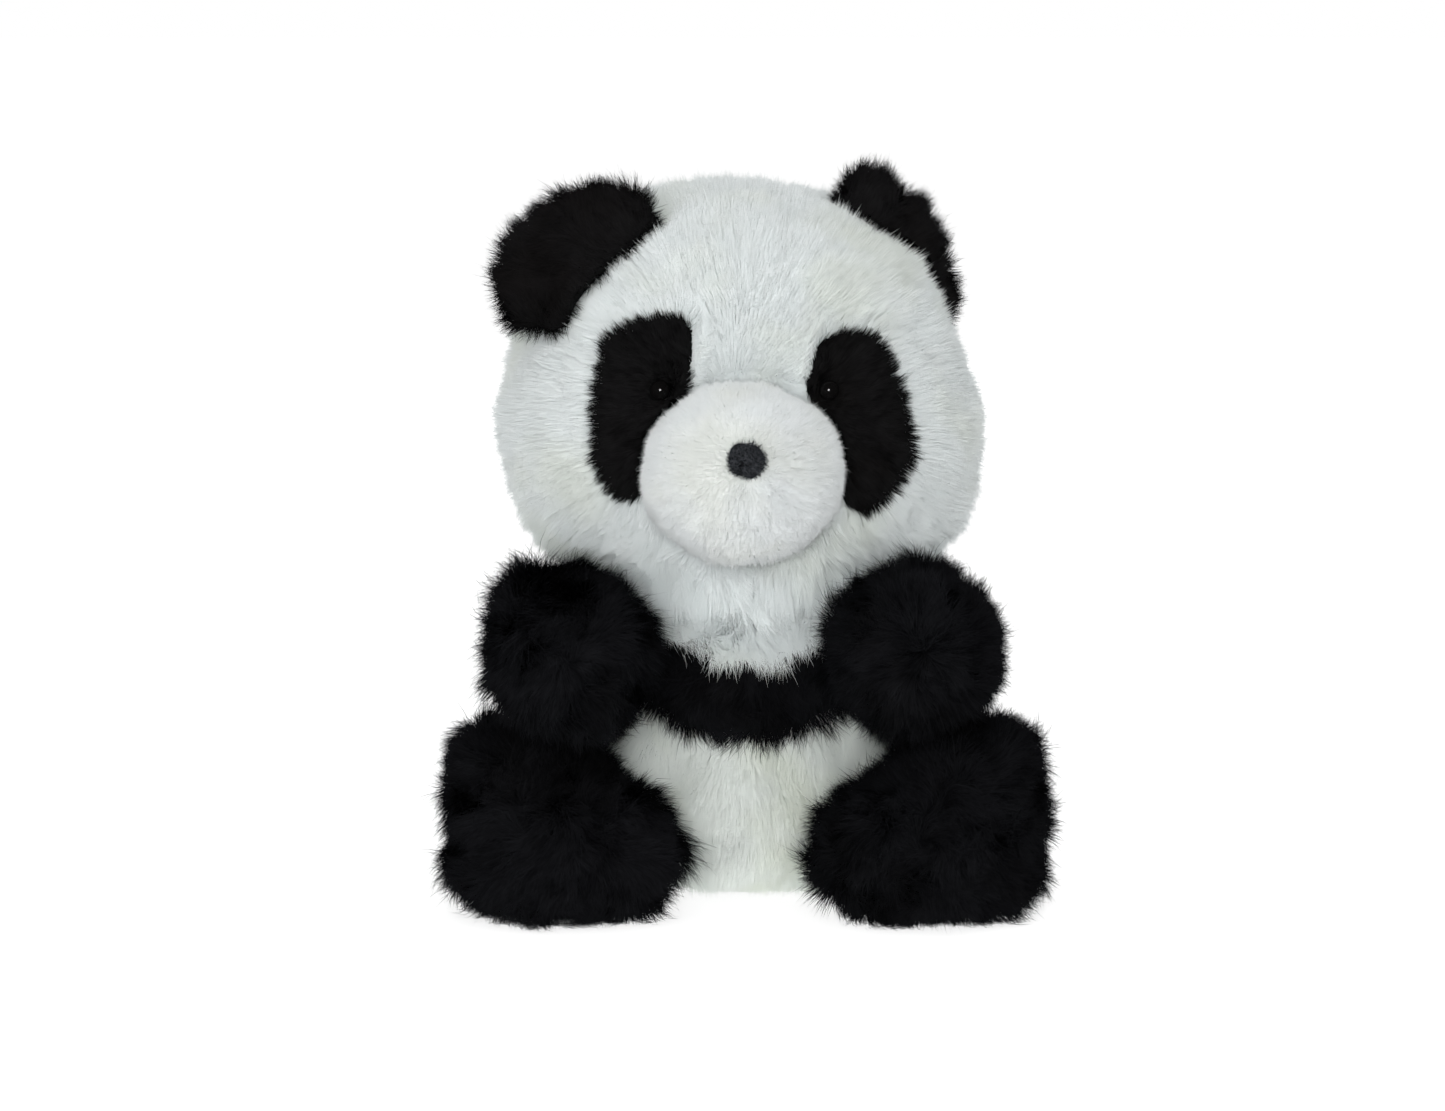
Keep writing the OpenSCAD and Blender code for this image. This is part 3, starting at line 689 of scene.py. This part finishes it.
for side, s in SIDES:
    name, body = "arm_cover_" + side, "arm_" + side
    low, high = box(name)
    arm = Skin([name, "arm_stuffing_" + side], [name], puff=1.4, seed=6 + s)
    roots = arm.scatter([COATS["black"]["per_mm2"]], 70 + s)
    p = roots["p"]
    stretch = arm.at(room(arm, body, 0.25, 9), roots) * (1 + 0.14 * lump(p)[:, 0])
    if s > 0:
        # the right paw faces the viewer and shows the whorl at its tip
        whorl = np.array([low[0] * 0.45 + high[0] * 0.55, low[1], low[2] * 0.4 + high[2] * 0.6])
        comb = unit(p - whorl) + 0.45 * swirl(p) + 0.3 * flow(p) + DOWN * 0.15
    else:
        # the left arm has a high tuft at its outer corner
        corner = np.array([low[0] + 0.008, (low[1] + high[1]) / 2 - 0.01, high[2] - 0.002])
        stretch *= 1 + 0.6 * (1 - ease(np.linalg.norm(p - corner, axis=1), 4 * MM, 24 * MM))
        comb = DOWN + np.array([0.45, 0, 0]) + 0.6 * swirl(p) + 0.5 * flow(p)
    coat_panel(arm, 0, roots, name, body, "black", comb, stretch, 73 + s, 0.08)
    stuffing(arm, "arm_stuffing_" + side, body)

    pair, body = ["leg_cover_" + side, "foot_sole_" + side], "leg_" + side
    tip = middle(pair[1]) + np.array([0, -0.01, 0.012])
    leg = Skin(pair + ["leg_stuffing_" + side], pair, puff=1.6, seed=8 + s)
    roots = leg.scatter([COATS["black"]["per_mm2"]] * 2, 80 + s)
    p = roots["p"]
    stretch = leg.at(room(leg, body, 0.3, 8), roots) * (1 + 0.16 * lump(p)[:, 0])
    comb = 0.6 * unit(p - tip) + 0.6 * swirl(p) + 0.5 * flow(p) + DOWN * 0.4
    for k, name in enumerate(pair):
        coat_panel(leg, k, roots, name, body, "black", comb, stretch, 83 + s + 3 * k, 0.08)
    stuffing(leg, "leg_stuffing_" + side, body)

# ---------------------------------------------------------------- carried-over CAD nodes


def finish_node(node, material):
    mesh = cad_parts[node].data
    mesh.materials.clear()
    mesh.materials.append(material)


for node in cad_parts:
    if any(part in node for part in ("washer", "stud", "disc")):
        finish_node(node, PLASTIC)
    elif "lock" in node:
        finish_node(node, LOCK)
for side, _ in SIDES:
    finish_node("eye_" + side, BEAD)

# ---------------------------------------------------------------- stage, light, camera

FLOOR_GLOW, ROOM_LIGHT, BACKDROP = 0.85, 0.6, 1.0

bpy.ops.mesh.primitive_plane_add(size=60, location=(0, 0, 0))
ground = bpy.context.object
ground.name = "ground"
paper, nt, shader, _ = new_material("paper")
shader.inputs["Base Color"].default_value = (0.3, 0.3, 0.3, 1)
shader.inputs["Roughness"].default_value = 0.95
shader.inputs["Specular IOR Level"].default_value = 0.0
shader.inputs["Emission Color"].default_value = (1, 1, 1, 1)
shader.inputs["Emission Strength"].default_value = FLOOR_GLOW
ground.data.materials.append(paper)
ground.visible_glossy = False
ground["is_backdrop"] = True

world = bpy.data.worlds.new("studio")
bpy.context.scene.world = world
world.use_nodes = True
sky = world.node_tree
path = sky.nodes.new("ShaderNodeLightPath")
level = sky.nodes.new("ShaderNodeMapRange")
level.inputs["To Min"].default_value = ROOM_LIGHT
level.inputs["To Max"].default_value = BACKDROP
sky.links.new(path.outputs["Is Camera Ray"], level.inputs["Value"])
sky.links.new(level.outputs["Result"], sky.nodes["Background"].inputs["Strength"])
sky.nodes["Background"].inputs["Color"].default_value = (1, 1, 1, 1)
world.cycles_visibility.glossy = False


def facing(target, place):
    return (Vector(target) - Vector(place)).to_track_quat("-Z", "Y").to_euler()


def lamp(name, place, target, size, power, only_glint=False):
    light = bpy.data.lights.new(name, "AREA")
    light.size = size
    light.energy = power
    holder = bpy.data.objects.new(name, light)
    bpy.context.scene.collection.objects.link(holder)
    holder.location = place
    holder.rotation_euler = facing(target, place)
    holder.visible_glossy = only_glint
    holder.visible_diffuse = not only_glint
    holder.visible_transmission = not only_glint


lamp("overhead", (0, -0.7, 1.9), (0, 0, 0.15), 1.4, 10)
lamp("front", (-0.25, -2.2, 0.5), (0, 0, 0.15), 1.4, 41)
lamp("rear", (0.4, 2.2, 1.1), (0, 0, 0.15), 1.4, 22)
lamp("glint", (-0.03, -1.5, 0.43), (0, -0.07, 0.2), 0.5, 90, True)

ELEVATION = math.radians(8)
AIM = Vector((-0.0096, -0.04, 0.141))
AWAY = 1.606
lens = bpy.data.cameras.new("camera")
lens.lens = 100
lens.sensor_width = 36
camera = bpy.data.objects.new("camera", lens)
bpy.context.scene.collection.objects.link(camera)
camera.location = AIM + Vector((0, -math.cos(ELEVATION), math.sin(ELEVATION))) * AWAY
camera.rotation_euler = facing(AIM, camera.location)
bpy.context.scene.camera = camera
bpy.context.scene.view_settings.view_transform = "Standard"

low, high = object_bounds()
